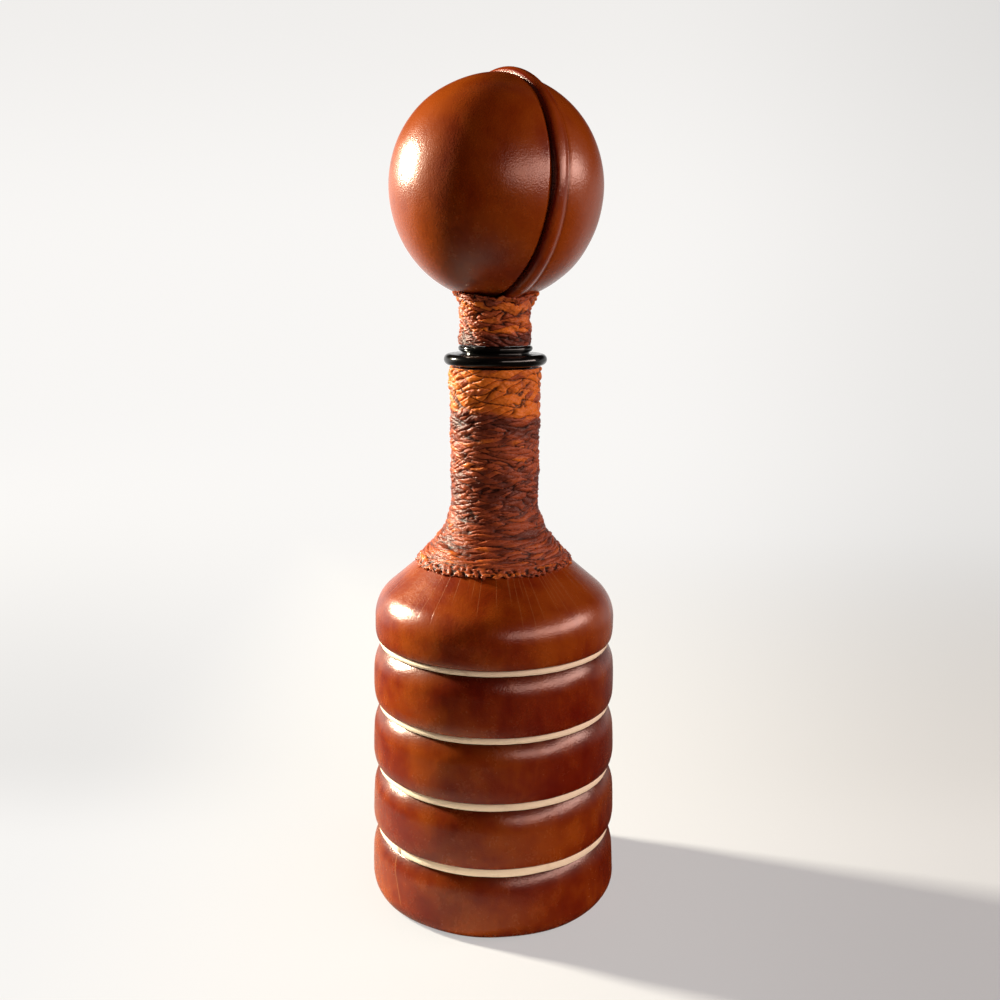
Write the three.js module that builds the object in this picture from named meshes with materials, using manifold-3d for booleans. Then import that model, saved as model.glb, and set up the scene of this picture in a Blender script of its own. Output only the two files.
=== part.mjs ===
// Leather-wrapped decanter with a ball stopper.
// Millimetres, +Z up. The origin is the centre of the underside, where the decanter stands.

import * as THREE from "three";
import { mergeVertices } from "three/addons/utils/BufferGeometryUtils.js";
import Module from "manifold-3d";

const wasm = await Module();
wasm.setup();

// Driving dimensions: fits
const CLEARANCE = 0.3; // gap left between neighbouring pieces

// Driving dimensions: leather bands and the lacing between them
const SHOULDER_DIAMETER = 98.2; // crest of the shoulder cover
const BASE_FLARE = 3.2; // how much wider the crest is at the underside
const BASE_BAND_HEIGHT = 27.4; // underside to the middle of the lowest lace
const BAND_PITCH = 26.3; // lace to lace
const MIDDLE_BANDS = 3;
const LEATHER = 2.2; // thickness of the smooth leather
const BAND_ROLL = 5.5; // height over which a band's edge rolls into its groove
const GROOVE_DEPTH = 1.7; // crest to the face of a lace
const LACE_DEPTH = 3; // the lace stands on edge between the bands
const LOWEST_LACE_WIDTH = 3.4;
const HIGHEST_LACE_WIDTH = 2.3;
const PADDING = 2; // felt between the glass and the back of a lace

// Driving dimensions: underside
const BASE_ROLL_HEIGHT = 6.5; // height of the roll at the foot of the base band
const BASE_ROLL_DEPTH = 5; // how far that roll goes in
const BASE_PAD_DIAMETER = 75;

// Driving dimensions: shoulder
const SHOULDER_WALL = 11.5; // top lace to where the shoulder starts to turn in
const SHOULDER_ROUND = 12.5; // radius of that turn
const SHOULDER_PITCH = 41; // slope of the shoulder above it, in degrees
const COVER_MOUTH_DIAMETER = 48; // where the shoulder cover ends, under the neck wrap

// Driving dimensions: glass bottle
const GLASS_WALL = 3;
const GLASS_BASE = 6;
const GLASS_CORNER = 6; // radius round the bottle's foot
const NECK_DIAMETER = 30;
const NECK_BORE = 22;
const NECK_FILLET = 10; // radius between the shoulder and the neck
const LIP_ROUND = 1.2;
const MOUTH_HEIGHT = 219;

// Driving dimensions: crinkled wrap on the neck
const WRAP_DIAMETER = 35.4;
const WRAP_TOP_DIAMETER = 36.6;
const WRAP_FLARE = 28; // radius of the sweep from the neck to the shoulder
const WRAP_PITCH = 48; // slope of the wrap's skirt, in degrees
const WRAP_FOOT_DIAMETER = 66;
const WRAP_FOOT = 1.8; // thickness of the skirt's edge
const WRAP_DROP = 0.6; // how far the wrap stops below the mouth

// Driving dimensions: collar, cork and dowel of the stopper
const FLANGE_DIAMETER = 41.6;
const FLANGE_THICKNESS = 4.6;
const COLLAR_WAIST_DIAMETER = 26.8;
const COLLAR_BEAD_DIAMETER = 29.8;
const COLLAR_NECK = 3.3; // height of the waist and bead above the flange
const CORK_LENGTH = 28;
const CORK_TAPER = 1; // how much smaller the cork's radius is at its lower end
const DOWEL_DIAMETER = 8;
const DOWEL_IN_CORK = 20;
const DOWEL_IN_BALL = 24;

// Driving dimensions: shank of the stopper
const SHANK_LENGTH = 19.5;
const SHANK_DIAMETER = 28.4; // over the wrap
const SHANK_WRAP = 2; // thickness of the crinkled leather
const SHANK_FLARE = 3.2; // how far the wrap spreads under the ball
const SHANK_FLARE_HEIGHT = 11;

// Driving dimensions: ball of the stopper
const BALL_WIDTH = 84.9;
const BALL_HEIGHT = 89.2;
const BALL_SEAT_DIAMETER = 12; // flat under the wooden ball
const SEAM_AZIMUTH = 33.5; // degrees round from the front, towards +X
const WELT_LEFT = 3.4; // the welt's reach to the left of the seam
const WELT_RIGHT = 4.8; // and to the right of it
const WELT_HEIGHT = 1.9;
const WELT_TONGUE = 1.2; // thickness of the tongue between the half covers

// Facets
const ROUND_STEPS = 36; // faces round a piece that shows
const HIDDEN_STEPS = 22; // faces round a piece inside
const ARC_STEPS = 3; // faces in the turn of an edge
const SWEEP_STEPS = 4; // faces in the sweep of a neck
const BALL_STEPS = 12; // faces from the foot of the ball to its top
const WELT_STEPS = 30;

const degrees = (angle) => (angle * Math.PI) / 180;

// Derived heights and radii

const laceHeights = Array.from({ length: MIDDLE_BANDS + 1 }, (_, k) => BASE_BAND_HEIGHT + k * BAND_PITCH);
const topLaceHeight = laceHeights[MIDDLE_BANDS];
const shoulderRadius = SHOULDER_DIAMETER / 2;
const shoulderStart = topLaceHeight + SHOULDER_WALL;
const shoulderTurn = degrees(90 - SHOULDER_PITCH);

const stackThickness = GROOVE_DEPTH + LACE_DEPTH + PADDING + 2 * CLEARANCE;
const glassRadius = shoulderRadius - stackThickness;
const glassFoot = LEATHER + CLEARANCE;
const neckRadius = NECK_DIAMETER / 2;
const boreRadius = NECK_BORE / 2;

const collarFoot = MOUTH_HEIGHT + CLEARANCE;
const flangeTop = collarFoot + FLANGE_THICKNESS;
const collarTop = flangeTop + COLLAR_NECK;
const shankFoot = collarTop + CLEARANCE;
const shankTop = shankFoot + SHANK_LENGTH;
const shankCoreRadius = SHANK_DIAMETER / 2 - SHANK_WRAP - CLEARANCE;
const shankFlareRadius = SHANK_DIAMETER / 2 + SHANK_FLARE;
const dowelRadius = DOWEL_DIAMETER / 2;
const dowelHole = dowelRadius + CLEARANCE;

const ballSeat = shankTop + CLEARANCE;
const coverSemiWidth = BALL_WIDTH / 2;
const coverSemiHeight = BALL_HEIGHT / 2;
const coreSemiWidth = coverSemiWidth - LEATHER - CLEARANCE;
const coreSemiHeight = coverSemiHeight - LEATHER - CLEARANCE;
const seatRadius = BALL_SEAT_DIAMETER / 2;
const ballCentre = ballSeat + coreSemiHeight * Math.sqrt(1 - (seatRadius / coreSemiWidth) ** 2);

// Crest of the leather at a height: a straight line from the underside to the shoulder.
function crestRadius(z) {
  const share = Math.min(1, z / shoulderStart);
  return shoulderRadius + (BASE_FLARE / 2) * (1 - share);
}

// A groove between two bands: the lace in it, and half the gap between the leather edges.
function grooveAt(k) {
  const z = laceHeights[k];
  const width = THREE.MathUtils.lerp(LOWEST_LACE_WIDTH, HIGHEST_LACE_WIDTH, k / MIDDLE_BANDS);
  const face = crestRadius(z) - GROOVE_DEPTH;
  return { z, width, half: width / 2 + CLEARANCE, face, back: face - LACE_DEPTH };
}

// Profile tools: points are Vector2(radius, height)

const at = (r, z) => new THREE.Vector2(r, z);

// Points on an ellipse from one angle to another, ends included.
function arc(centre, semiR, semiZ, from, to, steps = ARC_STEPS) {
  return Array.from({ length: steps + 1 }, (_, i) => {
    const angle = from + ((to - from) * i) / steps;
    return at(centre.x + semiR * Math.cos(angle), centre.y + semiZ * Math.sin(angle));
  });
}

// Where a straight slope through a point sweeps up into a neck: from the slope's end to the neck's foot.
function sweepIntoNeck(point, turn, radius, fillet) {
  const leave = radius + fillet * (1 - Math.cos(turn));
  const leaveZ = point.y + (point.x - leave) / Math.tan(turn);
  const centre = at(radius + fillet, leaveZ + fillet * Math.sin(turn));
  return arc(centre, fillet, fillet, Math.PI + turn, Math.PI, SWEEP_STEPS);
}

// A bottle's outline from the foot of its shoulder to the foot of its neck.
function shoulderOutline(wall, round, neck, fillet) {
  const centre = at(wall - round, shoulderStart);
  const turned = arc(centre, round, round, 0, shoulderTurn);
  return [...turned, ...sweepIntoNeck(turned[ARC_STEPS], shoulderTurn, neck, fillet)];
}

// The shoulder's straight slope, a distance inside the leather's face, from its turn to a given radius.
function shoulderSlope(depth, endRadius) {
  const round = SHOULDER_ROUND - depth;
  const turned = arc(at(shoulderRadius - SHOULDER_ROUND, shoulderStart), round, round, 0, shoulderTurn);
  const last = turned[ARC_STEPS];
  return [...turned, at(endRadius, last.y + (last.x - endRadius) / Math.tan(shoulderTurn))];
}

// Solid tools

// Positions only, with shared vertices merged and collapsed faces dropped.
function weld(geometry) {
  const bare = geometry.clone();
  bare.deleteAttribute("normal");
  bare.deleteAttribute("uv");
  const merged = mergeVertices(bare, 1e-4);
  const faces = [];
  for (let i = 0; i < merged.index.count; i += 3) {
    const [a, b, c] = merged.index.array.slice(i, i + 3);
    if (a !== b && b !== c && c !== a) faces.push(a, b, c);
  }
  merged.setIndex(faces);
  return merged;
}

// A profile turned round the Z axis. It closes on itself, or starts and ends on the axis.
function revolve(profile, steps = ROUND_STEPS) {
  const closed = THREE.ShapeUtils.isClockWise(profile) ? [...profile].reverse() : [...profile];
  const onAxis = closed.some((p) => p.x === 0);
  if (!onAxis) closed.push(closed[0].clone());
  return weld(new THREE.LatheGeometry(closed, steps).rotateX(Math.PI / 2));
}

function toSolid(geometry) {
  const welded = weld(geometry);
  const mesh = new wasm.Mesh({
    numProp: 3,
    vertProperties: new Float32Array(welded.attributes.position.array),
    triVerts: new Uint32Array(welded.index.array),
  });
  return new wasm.Manifold(mesh);
}

function toGeometry(solid) {
  const mesh = solid.getMesh();
  const geometry = new THREE.BufferGeometry();
  geometry.setAttribute("position", new THREE.BufferAttribute(mesh.vertProperties, 3));
  geometry.setIndex(new THREE.BufferAttribute(mesh.triVerts, 1));
  return geometry;
}

// Materials

const finish = (color, roughness, metalness = 0) =>
  new THREE.MeshStandardMaterial({ color, roughness, metalness });
const smoothLeather = finish(0x8a3a18, 0.35);
const weltLeather = finish(0x94431a, 0.4);
const crinkledLeather = finish(0x8f4a28, 0.5);
const paleLace = finish(0xe6cfae, 0.6);
const blackPlastic = finish(0x0b0a0a, 0.15);
const felt = finish(0x8d857a, 0.95);
const clearGlass = finish(0xbfd0cb, 0.05);
const turnedWood = finish(0xc79a63, 0.6);
const cork = finish(0xb98a58, 0.85);
const soleLeather = finish(0x3a2417, 0.8);

const decanter = new THREE.Group();

function addPiece(name, geometry, material, parent = decanter) {
  const mesh = new THREE.Mesh(geometry, material);
  mesh.name = name;
  parent.add(mesh);
}

// Glass bottle: one blown shell, open at the mouth.
function glassBottle() {
  const outerRound = Math.max(LIP_ROUND, SHOULDER_ROUND - stackThickness);
  const innerWall = glassRadius - GLASS_WALL;
  const innerRound = Math.max(LIP_ROUND, outerRound - GLASS_WALL);
  const innerCorner = Math.max(LIP_ROUND, GLASS_CORNER - GLASS_WALL / 2);
  const floor = glassFoot + GLASS_BASE;
  const rim = MOUTH_HEIGHT - LIP_ROUND;
  const foot = at(glassRadius - GLASS_CORNER, glassFoot + GLASS_CORNER);
  const outside = [
    at(0, glassFoot),
    ...arc(foot, GLASS_CORNER, GLASS_CORNER, -Math.PI / 2, 0, 2),
    ...shoulderOutline(glassRadius, outerRound, neckRadius, NECK_FILLET),
    ...arc(at(neckRadius - LIP_ROUND, rim), LIP_ROUND, LIP_ROUND, 0, Math.PI / 2, 1),
  ];
  const inside = [
    at(0, floor),
    ...arc(at(innerWall - innerCorner, floor + innerCorner), innerCorner, innerCorner, -Math.PI / 2, 0, 2),
    ...shoulderOutline(innerWall, innerRound, boreRadius, NECK_FILLET + GLASS_WALL),
    ...arc(at(boreRadius + LIP_ROUND, rim), LIP_ROUND, LIP_ROUND, Math.PI, Math.PI / 2, 1),
  ];
  return revolve([...outside, ...inside.reverse()], HIDDEN_STEPS);
}

// The edge of a leather band at a groove, from the crest to the inner face. side is 1 for an upper edge.
function rolledEdge(groove, side) {
  const lip = groove.z - side * groove.half;
  const rollEnd = lip - side * BAND_ROLL;
  const crest = crestRadius(rollEnd);
  return [
    ...arc(at(groove.face, rollEnd), crest - groove.face, side * BAND_ROLL, 0, Math.PI / 2),
    at(groove.back, lip),
    at(crest - LEATHER, rollEnd),
  ];
}

// The edge of the felt in a band, one clearance inside the leather, passing behind the lace to the glass.
function paddingEdge(groove, side) {
  const lip = groove.z - side * groove.half;
  const rollEnd = lip - side * BAND_ROLL;
  const joint = groove.z - (side * CLEARANCE) / 2;
  const behind = groove.back - CLEARANCE;
  return [
    at(crestRadius(rollEnd) - LEATHER - CLEARANCE, rollEnd),
    at(behind, lip),
    at(behind, joint),
    at(glassRadius + CLEARANCE, joint),
  ];
}

function middleBand(k) {
  return revolve([...rolledEdge(grooveAt(k - 1), -1).reverse(), ...rolledEdge(grooveAt(k), 1)]);
}

function middlePadding(k) {
  const profile = [...paddingEdge(grooveAt(k - 1), -1).reverse(), ...paddingEdge(grooveAt(k), 1)];
  return revolve(profile, HIDDEN_STEPS);
}

// Lowest band: it rolls under the bottle's foot and ends round the base pad.
function baseBand() {
  const crest = crestRadius(BASE_ROLL_HEIGHT);
  const sole = BASE_PAD_DIAMETER / 2 + CLEARANCE;
  const roll = at(crest - BASE_ROLL_DEPTH, BASE_ROLL_HEIGHT);
  return revolve([
    at(sole, LEATHER),
    at(sole, 0),
    ...arc(roll, BASE_ROLL_DEPTH, BASE_ROLL_HEIGHT, -Math.PI / 2, 0),
    ...rolledEdge(grooveAt(0), 1),
    at(crest - LEATHER, BASE_ROLL_HEIGHT),
    at(roll.x, LEATHER),
  ]);
}

function basePadding() {
  const crest = crestRadius(BASE_ROLL_HEIGHT);
  const profile = [
    at(glassRadius + CLEARANCE, BASE_ROLL_HEIGHT),
    at(crest - LEATHER - CLEARANCE, BASE_ROLL_HEIGHT),
    ...paddingEdge(grooveAt(0), 1),
  ];
  return revolve(profile, HIDDEN_STEPS);
}

// Shoulder cover: the top band, moulded over the bottle's shoulder.
function shoulderCover() {
  const mouth = COVER_MOUTH_DIAMETER / 2;
  const face = shoulderSlope(0, mouth);
  const back = shoulderSlope(LEATHER, mouth - LEATHER * Math.cos(shoulderTurn));
  return revolve([...rolledEdge(grooveAt(MIDDLE_BANDS), -1).reverse(), ...face, ...back.reverse()]);
}

function shoulderPadding() {
  const depth = LEATHER + CLEARANCE;
  const mouth = COVER_MOUTH_DIAMETER / 2;
  const outer = shoulderSlope(depth, mouth - depth * Math.cos(shoulderTurn));
  const innerDepth = stackThickness - CLEARANCE;
  const inner = shoulderSlope(innerDepth, mouth - innerDepth * Math.cos(shoulderTurn));
  const profile = [...paddingEdge(grooveAt(MIDDLE_BANDS), -1).reverse(), ...outer, ...inner.reverse()];
  return revolve(profile, HIDDEN_STEPS);
}

// Pale lace standing on edge in a groove.
function grooveLace(k) {
  const { z, width, face, back } = grooveAt(k);
  const half = width / 2;
  return revolve([at(back, z - half), at(face, z - half), at(face, z + half), at(back, z + half)]);
}

function basePad() {
  const radius = BASE_PAD_DIAMETER / 2;
  return revolve([at(0, 0), at(radius, 0), at(radius, LEATHER), at(0, LEATHER)]);
}

// Crinkled leather wrapped round the neck, with a skirt that spreads over the shoulder.
function neckWrap() {
  const foot = WRAP_FOOT_DIAMETER / 2;
  const top = MOUTH_HEIGHT - WRAP_DROP;
  const bed = shoulderSlope(-CLEARANCE, foot);
  const bedEnd = bed[bed.length - 1];
  const normal = at(Math.cos(shoulderTurn), Math.sin(shoulderTurn));
  const skirt = bedEnd.clone().addScaledVector(normal, WRAP_FOOT);
  const coverEnd = shoulderSlope(0, COVER_MOUTH_DIAMETER / 2).pop();
  const outerRound = Math.max(LIP_ROUND, SHOULDER_ROUND - stackThickness);
  const neckFoot = shoulderOutline(glassRadius, outerRound, neckRadius, NECK_FILLET).pop();
  const step = Math.max(coverEnd.y, neckFoot.y) + 2 * CLEARANCE;
  const stepRadius = bedEnd.x - (step - bedEnd.y) * Math.tan(shoulderTurn);
  return revolve([
    bedEnd,
    skirt,
    ...sweepIntoNeck(skirt, degrees(90 - WRAP_PITCH), WRAP_DIAMETER / 2, WRAP_FLARE),
    at(WRAP_TOP_DIAMETER / 2, top),
    at(neckRadius + CLEARANCE, top),
    at(neckRadius + CLEARANCE, step),
    at(stepRadius, step),
  ]);
}

// Turned black collar: a flange with a half-round rim, a waist and a bead.
function stopperCollar() {
  const rim = FLANGE_THICKNESS / 2;
  const waist = COLLAR_WAIST_DIAMETER / 2;
  const bead = COLLAR_NECK / 3;
  return revolve([
    at(dowelHole, collarFoot),
    ...arc(at(FLANGE_DIAMETER / 2 - rim, collarFoot + rim), rim, rim, -Math.PI / 2, Math.PI / 2, SWEEP_STEPS),
    at(waist, flangeTop),
    ...arc(at(COLLAR_BEAD_DIAMETER / 2 - bead, collarTop - bead), bead, bead, -Math.PI / 3, Math.PI / 2),
    at(dowelHole, collarTop),
  ]);
}

// Tapered cork, drilled from above for the dowel.
function stopperCork() {
  const top = MOUTH_HEIGHT;
  const radius = boreRadius - CLEARANCE;
  const profile = [
    at(0, top - CORK_LENGTH),
    at(radius - CORK_TAPER, top - CORK_LENGTH),
    at(radius, top),
    at(dowelHole, top),
    at(dowelHole, top - DOWEL_IN_CORK),
    at(0, top - DOWEL_IN_CORK),
  ];
  return revolve(profile, HIDDEN_STEPS);
}

// Wooden dowel that strings the cork, the collar, the shank and the ball together.
function stopperDowel() {
  const bottom = MOUTH_HEIGHT - DOWEL_IN_CORK + CLEARANCE;
  const top = ballSeat + DOWEL_IN_BALL - CLEARANCE;
  const profile = [at(0, bottom), at(dowelRadius, bottom), at(dowelRadius, top), at(0, top)];
  return revolve(profile, HIDDEN_STEPS / 2);
}

function shankCore() {
  const profile = [
    at(dowelHole, shankFoot),
    at(shankCoreRadius, shankFoot),
    at(shankCoreRadius, shankTop),
    at(dowelHole, shankTop),
  ];
  return revolve(profile, HIDDEN_STEPS);
}

function shankWrap() {
  const inner = shankCoreRadius + CLEARANCE;
  const outer = SHANK_DIAMETER / 2;
  const flare = at(shankFlareRadius, shankTop - SHANK_FLARE_HEIGHT);
  return revolve([
    at(inner, shankFoot),
    at(outer, shankFoot),
    ...arc(flare, SHANK_FLARE, SHANK_FLARE_HEIGHT, Math.PI, Math.PI / 2),
    at(inner, shankTop),
  ]);
}

// Points down a ball's outline, from a height to its top on the axis.
function ballOutline(semiWidth, semiHeight, foot) {
  const from = Math.asin((foot - ballCentre) / semiHeight);
  const points = arc(at(0, ballCentre), semiWidth, semiHeight, from, Math.PI / 2, BALL_STEPS);
  points[BALL_STEPS].x = 0;
  return points;
}

// Wooden ball with a flat seat and a blind hole for the dowel.
function ballCore() {
  const holeTop = ballSeat + DOWEL_IN_BALL;
  const profile = [
    at(0, holeTop),
    at(dowelHole, holeTop),
    at(dowelHole, ballSeat),
    ...ballOutline(coreSemiWidth, coreSemiHeight, ballSeat),
  ];
  return revolve(profile, HIDDEN_STEPS);
}

// Half of the ball's leather: the shell on one side of the seam. side is -1 for left and 1 for right.
function ballCover(side) {
  const foot = ballSeat + CLEARANCE;
  const face = ballOutline(coverSemiWidth, coverSemiHeight, foot);
  const back = ballOutline(coverSemiWidth - LEATHER, coverSemiHeight - LEATHER, foot);
  const shell = toSolid(revolve([...back.reverse(), ...face]));
  const reach = 2 * BALL_HEIGHT;
  const seam = WELT_TONGUE / 2 + CLEARANCE;
  const otherSide = new THREE.BoxGeometry(reach, reach, reach);
  otherSide.translate(0, side * (seam - reach / 2), ballCentre);
  return toGeometry(shell.subtract(toSolid(otherSide)));
}

// The ball's outline over the top, in the plane of the seam.
class SeamCurve extends THREE.Curve {
  constructor(endRadius) {
    super();
    this.end = -Math.acos(endRadius / coverSemiWidth);
  }

  getPoint(t, target = new THREE.Vector3()) {
    const angle = this.end + t * (Math.PI - 2 * this.end);
    return target.set(coverSemiWidth * Math.cos(angle), 0, ballCentre + coverSemiHeight * Math.sin(angle));
  }
}

// Welt over the seam: a steep lip to the left, a long fall to the right, and a tongue between the half covers.
function ballWelt() {
  const tongue = WELT_TONGUE / 2;
  const section = new THREE.Shape();
  section.moveTo(tongue, CLEARANCE);
  section.lineTo(tongue, -LEATHER);
  section.lineTo(-tongue, -LEATHER);
  section.lineTo(-tongue, CLEARANCE);
  section.lineTo(-WELT_RIGHT, CLEARANCE);
  section.quadraticCurveTo(-WELT_RIGHT / 2, WELT_HEIGHT, 0, WELT_HEIGHT);
  section.quadraticCurveTo(WELT_LEFT, WELT_HEIGHT, WELT_LEFT, WELT_HEIGHT / 2);
  section.lineTo(WELT_LEFT, CLEARANCE);
  const path = new SeamCurve(shankFlareRadius + 3 * CLEARANCE);
  return weld(
    new THREE.ExtrudeGeometry(section, { extrudePath: path, steps: WELT_STEPS, curveSegments: ARC_STEPS }),
  );
}

// Assembly

addPiece("glass_bottle", glassBottle(), clearGlass);
addPiece("base_pad", basePad(), soleLeather);
addPiece("base_band", baseBand(), smoothLeather);
addPiece("base_padding", basePadding(), felt);
for (let k = 1; k <= MIDDLE_BANDS; k += 1) {
  addPiece(`body_band_${k}`, middleBand(k), smoothLeather);
  addPiece(`band_padding_${k}`, middlePadding(k), felt);
}
addPiece("shoulder_cover", shoulderCover(), smoothLeather);
addPiece("shoulder_padding", shoulderPadding(), felt);
for (let k = 0; k <= MIDDLE_BANDS; k += 1) {
  addPiece(`groove_lace_${k + 1}`, grooveLace(k), paleLace);
}
addPiece("neck_wrap", neckWrap(), crinkledLeather);

const stopper = new THREE.Group();
decanter.add(stopper);
addPiece("stopper_cork", stopperCork(), cork, stopper);
addPiece("stopper_collar", stopperCollar(), blackPlastic, stopper);
addPiece("stopper_dowel", stopperDowel(), turnedWood, stopper);
addPiece("shank_core", shankCore(), turnedWood, stopper);
addPiece("shank_wrap", shankWrap(), crinkledLeather, stopper);
addPiece("ball_core", ballCore(), turnedWood, stopper);

// The ball's covers and welt are turned so that the seam faces the front, a little to the right.
const ball = new THREE.Group();
ball.rotation.z = degrees(SEAM_AZIMUTH - 90);
stopper.add(ball);
addPiece("ball_cover_left", ballCover(-1), smoothLeather, ball);
addPiece("ball_cover_right", ballCover(1), smoothLeather, ball);
addPiece("ball_welt", ballWelt(), weltLeather, ball);

export default decanter;
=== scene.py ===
"""Leather-wrapped decanter: the visible skins, their finishes and the studio round them."""

import math

import bpy
import numpy as np
from bpy.props import FloatProperty, FloatVectorProperty, PointerProperty
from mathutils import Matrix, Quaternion, Vector


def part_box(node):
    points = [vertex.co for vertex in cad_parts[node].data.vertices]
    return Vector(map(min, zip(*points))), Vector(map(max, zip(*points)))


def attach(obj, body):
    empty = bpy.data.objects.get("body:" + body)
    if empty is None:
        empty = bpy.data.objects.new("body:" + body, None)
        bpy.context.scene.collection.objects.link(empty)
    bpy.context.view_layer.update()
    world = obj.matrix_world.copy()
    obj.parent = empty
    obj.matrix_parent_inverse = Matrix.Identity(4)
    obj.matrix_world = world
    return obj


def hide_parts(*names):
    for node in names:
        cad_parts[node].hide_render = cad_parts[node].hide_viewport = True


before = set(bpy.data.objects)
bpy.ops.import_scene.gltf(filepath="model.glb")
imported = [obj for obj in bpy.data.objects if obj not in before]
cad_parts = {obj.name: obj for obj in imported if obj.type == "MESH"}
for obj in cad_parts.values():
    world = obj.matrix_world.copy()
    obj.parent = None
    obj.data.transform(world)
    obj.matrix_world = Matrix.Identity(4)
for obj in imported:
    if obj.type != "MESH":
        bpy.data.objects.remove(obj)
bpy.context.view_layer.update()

bl_info = {
    "name": "Leather-wrapped decanter",
    "version": (1, 0, 0),
    "blender": (4, 5, 0),
    "location": "3D View > Sidebar > Decanter",
    "description": "Dresses a decanter in banded leather, crinkled wraps and a seamed ball stopper",
    "category": "Add Mesh",
}

MM = 0.001
TAU = 2 * math.pi
QUARTER = math.pi / 2
# Radius of the first ring round the axis, inside which a fan closes a surface
POLE = 0.4 * MM
BANDS = ("base_band", "body_band_1", "body_band_2", "body_band_3", "shoulder_cover")
LACES = ("groove_lace_1", "groove_lace_2", "groove_lace_3", "groove_lace_4")


def length(name, description, default):
    """A size that a user may change, in metres."""
    return FloatProperty(name=name, description=description, default=default, unit="LENGTH", precision=4)


def turn(name, description, default):
    """An angle that a user may change, given in degrees."""
    return FloatProperty(name=name, description=description, default=math.radians(default), subtype="ANGLE")


def colour(name, description, default):
    """A linear colour that a user may change."""
    kind = {"subtype": "COLOR", "min": 0, "max": 1}
    return FloatVectorProperty(name=name, description=description, default=default, **kind)


class DecanterSizes(bpy.types.PropertyGroup):
    """Sizes of the leather skins. Heights and widths of the pieces come from the frame."""

    top_roll: length("Top roll", "Radius of the roll at the upper edge of a band", 14 * MM)
    top_lean: turn("Top lean", "How far the upper edge of a band leans in where it meets its lace", 37)
    under_roll: length("Under roll", "Height over which the lower edge of a band turns in", 5 * MM)
    under_depth: length("Under depth", "How far the lower edge of a band turns in", 1.3 * MM)
    band_swell: length("Band swell", "How far the middle of a band stands proud of its edges", 0.3 * MM)
    leather: length("Leather", "Thickness of the smooth leather", 2.2 * MM)
    lace_crown: length("Lace crown", "How far the face of a lace swells in the middle", 0.25 * MM)
    base_roll_height: length("Base roll height", "Height of the roll at the foot", 6.5 * MM)
    base_roll_depth: length("Base roll depth", "How far the roll at the foot goes in", 5 * MM)
    shoulder_wall: length("Shoulder wall", "Top lace to where the shoulder turns in", 10.2 * MM)
    shoulder_round: length("Shoulder round", "Radius of the shoulder's turn", 15.5 * MM)
    shoulder_pitch: turn("Shoulder pitch", "Slope of the shoulder above its turn", 41)
    cover_mouth: length("Cover mouth", "Radius where the shoulder cover ends under the wrap", 24 * MM)
    wrap_radius: length("Wrap radius", "Radius of the neck wrap at its narrowest", 17.75 * MM)
    wrap_top: length("Wrap top", "Radius of the neck wrap under the collar", 18.5 * MM)
    wrap_flare: length("Wrap flare", "Radius of the sweep from the neck to the shoulder", 28 * MM)
    wrap_pitch: turn("Wrap pitch", "Slope of the neck wrap's skirt", 48)
    wrap_foot: length("Wrap foot", "Radius of the edge of the neck wrap's skirt", 31.4 * MM)
    wrap_edge: length("Wrap edge", "Thickness of the skirt's edge", 1.0 * MM)
    neck_outside: length("Neck outside", "Radius of the glass neck under the wrap", 15.3 * MM)
    shank_flare: length("Shank flare", "How far the shank wrap spreads under the ball", 3.2 * MM)
    shank_flare_height: length("Shank flare height", "Height over which it spreads", 11 * MM)
    ball_width: length("Ball width", "Width of the ball over its leather", 84.9 * MM)
    ball_height: length("Ball height", "Height of the ball over its leather", 89.2 * MM)
    ball_flat: length("Ball flat", "How far the ball's top is flattened", 0.8 * MM)
    seam_azimuth: turn("Seam azimuth", "How far the ball's seam stands to the right of the front", 33.5)
    seam_lean: turn("Seam lean", "How far the seam leans to the right at the top of the ball", 3.1)
    seam_offset: length("Seam offset", "How far right of the ball's middle the seam passes", 0.55 * MM)
    welt_left: length("Welt left", "The welt's reach to the left of the seam", 3.6 * MM)
    welt_right: length("Welt right", "The welt's reach to the right of the seam", 3.4 * MM)
    welt_height: length("Welt height", "How far the welt stands proud of the ball", 1.9 * MM)


class DecanterColours(bpy.types.PropertyGroup):
    """Colours of the finishes, as linear values."""

    leather_deep: colour("Leather, deep", "Darkest patches of the smooth leather", (0.135, 0.006, 0.0004))
    leather_body: colour("Leather, body", "Main colour of the smooth leather", (0.205, 0.02, 0.0008))
    leather_amber: colour("Leather, amber", "Lightest patches of the smooth leather", (0.3, 0.05, 0.0022))
    # Painted shade at the edges of the bands, along the ball's seam and on the welt's wall
    leather_shade: colour("Leather, edge", "Painted shade at the smooth leather's edges", (0.025, 0.0018, 0.0006))
    scratch: colour("Scratch", "Scratches and the joint of the base band", (0.52, 0.22, 0.08))
    wrap_amber: colour("Wrap, amber", "Folds of the top winding on the neck", (0.78, 0.185, 0.02))
    wrap_russet: colour("Wrap, russet", "Folds of the red-brown windings", (0.38, 0.075, 0.027))
    wrap_umber: colour("Wrap, umber", "Folds of the dark windings", (0.15, 0.031, 0.016))
    # Painted shade in the creases of the wraps
    wrap_crease_shade: colour("Wrap, crease", "Bottoms of the creases", (0.018, 0.003, 0.0015))
    lace: colour("Lace", "Pale lace", (0.98, 0.8, 0.6))
    # Soil in random patches on the lace, and painted shade along its edges
    lace_soil_and_shade: colour("Lace, soiled", "Soil on the lace and painted shade at its edges", (0.42, 0.27, 0.15))
    collar: colour("Collar", "Polished black collar", (0.004, 0.0035, 0.0035))
    cork: colour("Cork", "Cork in the neck", (0.45, 0.24, 0.1))
    wood: colour("Wood", "Wood inside the stopper", (0.5, 0.28, 0.11))
    felt: colour("Felt", "Felt under the bands", (0.26, 0.24, 0.21))
    sole: colour("Sole", "Leather under the foot", (0.05, 0.022, 0.011))
    floor: colour("Floor", "Floor and backdrop", (0.318, 0.325, 0.355))


def reach(node):
    """A CAD node's lowest height, highest height and greatest radius."""
    low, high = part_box(node)
    return low[2], high[2], high[0]


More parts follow.
